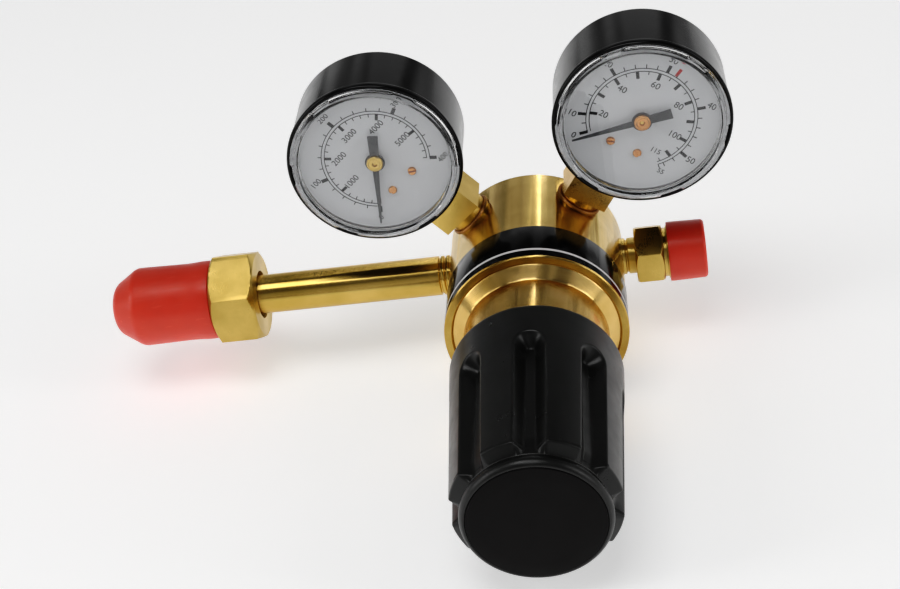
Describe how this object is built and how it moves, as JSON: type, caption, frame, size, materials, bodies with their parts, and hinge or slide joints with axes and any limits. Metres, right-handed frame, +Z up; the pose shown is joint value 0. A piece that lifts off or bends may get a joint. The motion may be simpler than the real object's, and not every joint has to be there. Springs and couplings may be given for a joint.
{
  "type": "gas regulator",
  "caption": "Gas pressure regulator: brass body with stem inlet and nut, hose outlet, large grooved hand knob, and dial gauges leaning out above.",
  "frame": {"origin": "the seat of the bull-nose inlet nipple, on the axis of the inlet and outlet", "axes": "+X from the inlet to the outlet, -Y towards the hand knob, +Z up between the gauges"},
  "size_m": [0.2026, 0.1357, 0.1085],
  "materials": {
    "brass": "polished",
    "knob_black": "satin",
    "case_black": "gloss",
    "band_black": "gloss",
    "cap_red": "satin",
    "clear_lens": "clear",
    "dial_grey": "matte",
    "pointer_grey": "matte",
    "steel": "plain",
    "bronze": "matte",
    "rubber": "matte",
    "nylon": "plain"
  },
  "bodies": {
    "regulator": {"body": "brass", "label_band": "band_black", "bonnet": "brass", "slip_ring": "steel", "diaphragm": "rubber", "main_spring": "steel", "seat_nozzle": "brass", "valve_spring": "steel", "inlet_stem": "brass", "inlet_filter": "bronze", "nipple_ring": "rubber", "outlet_fitting": "brass", "outlet_jet": "brass", "contents_case": "case_black", "contents_lens": "clear_lens", "contents_dial": "dial_grey", "contents_dial_screws": "brass", "contents_socket": "brass", "contents_bourdon_tube": "bronze", "contents_movement": "brass", "contents_vent_plug": "rubber", "contents_washer": "bronze", "flow_case": "case_black", "flow_lens": "clear_lens", "flow_dial": "dial_grey", "flow_dial_screws": "brass", "flow_socket": "brass", "flow_bourdon_tube": "bronze", "flow_movement": "brass", "flow_vent_plug": "rubber", "flow_washer": "bronze"},
    "screw_feed": {"spring_button": "steel"},
    "knob_group": {"knob": "knob_black", "knob_cap": "knob_black", "knob_nut": "steel", "adjusting_screw": "steel"},
    "diaphragm_group": {"diaphragm_plate": "brass", "diaphragm_boss": "brass"},
    "valve_group": {"valve_poppet": "brass", "valve_disc": "nylon"},
    "nut_group": {"inlet_nut": "brass"},
    "inlet_cap_group": {"inlet_cap": "cap_red"},
    "outlet_cap_group": {"outlet_cap": "cap_red"},
    "contents_pointer_group": {"contents_pointer": "pointer_grey", "contents_hub": "brass", "contents_pinion": "brass"},
    "contents_sector_group": {"contents_sector_gear": "brass"},
    "contents_link_group": {"contents_link": "steel"},
    "flow_pointer_group": {"flow_pointer": "pointer_grey", "flow_hub": "brass", "flow_pinion": "brass"},
    "flow_sector_group": {"flow_sector_gear": "brass"},
    "flow_link_group": {"flow_link": "steel"}
  },
  "joints": [
    {"name": "screw_feed_slide", "type": "slide", "parent": "regulator", "child": "screw_feed", "axis": [0, 1, 0], "range_m": [0, 0.0075], "deforming": ["main_spring"]},
    {"name": "knob_turn", "type": "hinge", "parent": "screw_feed", "child": "knob_group", "pos_m": [0.125, -0.09, 0], "axis": [0, 1, 0], "range_deg": [0, 1800]},
    {"name": "diaphragm_lift", "type": "slide", "parent": "regulator", "child": "diaphragm_group", "axis": [0, 1, 0], "range_m": [0, 0.0008], "stiffness_N_per_m": 2000, "deforming": ["diaphragm"]},
    {"name": "valve_lift", "type": "slide", "parent": "regulator", "child": "valve_group", "axis": [0, 1, 0], "range_m": [0, 0.0008], "stiffness_N_per_m": 800, "deforming": ["valve_spring"]},
    {"name": "nut_turn", "type": "hinge", "parent": "regulator", "child": "nut_group", "pos_m": [0.028, 0, 0], "axis": [1, 0, 0], "continuous": true},
    {"name": "inlet_cap_pull", "type": "slide", "parent": "nut_group", "child": "inlet_cap_group", "axis": [-1, 0, 0], "range_m": [0, 0.036]},
    {"name": "outlet_cap_pull", "type": "slide", "parent": "regulator", "child": "outlet_cap_group", "axis": [1, 0, 0], "range_m": [0, 0.014]},
    {"name": "contents_pointer_turn", "type": "hinge", "parent": "regulator", "child": "contents_pointer_group", "pos_m": [0.08258, -0.011, 0.05056], "axis": [0, 1, 0], "range_deg": [0, 270]},
    {"name": "contents_sector_turn", "type": "hinge", "parent": "regulator", "child": "contents_sector_group", "pos_m": [0.09737, -0.004, 0.04927], "axis": [0, 1, 0], "range_deg": [-50, 1]},
    {"name": "contents_link_turn", "type": "hinge", "parent": "contents_sector_group", "child": "contents_link_group", "pos_m": [0.10066, -0.0035, 0.05046], "axis": [0, 1, 0], "range_deg": [-1, 50]},
    {"name": "flow_pointer_turn", "type": "hinge", "parent": "regulator", "child": "flow_pointer_group", "pos_m": [0.16286, -0.011, 0.05406], "axis": [0, 1, 0], "range_deg": [0, 270]},
    {"name": "flow_sector_turn", "type": "hinge", "parent": "regulator", "child": "flow_sector_group", "pos_m": [0.16543, -0.004, 0.03944], "axis": [0, 1, 0], "range_deg": [-50, 1]},
    {"name": "flow_link_turn", "type": "hinge", "parent": "flow_sector_group", "child": "flow_link_group", "pos_m": [0.16744, -0.0035, 0.03657], "axis": [0, 1, 0], "range_deg": [-1, 50]}
  ],
  "couplings": [
    {"joint": "knob_turn", "follows": "screw_feed_slide", "rad_per_m": 4188.8},
    {"joint": "valve_lift", "follows": "diaphragm_lift", "ratio": 1},
    {"joint": "contents_sector_turn", "follows": "contents_pointer_turn", "ratio": -0.17857},
    {"joint": "contents_link_turn", "follows": "contents_pointer_turn", "ratio": 0.17857},
    {"joint": "flow_sector_turn", "follows": "flow_pointer_turn", "ratio": -0.17857},
    {"joint": "flow_link_turn", "follows": "flow_pointer_turn", "ratio": 0.17857}
  ]
}
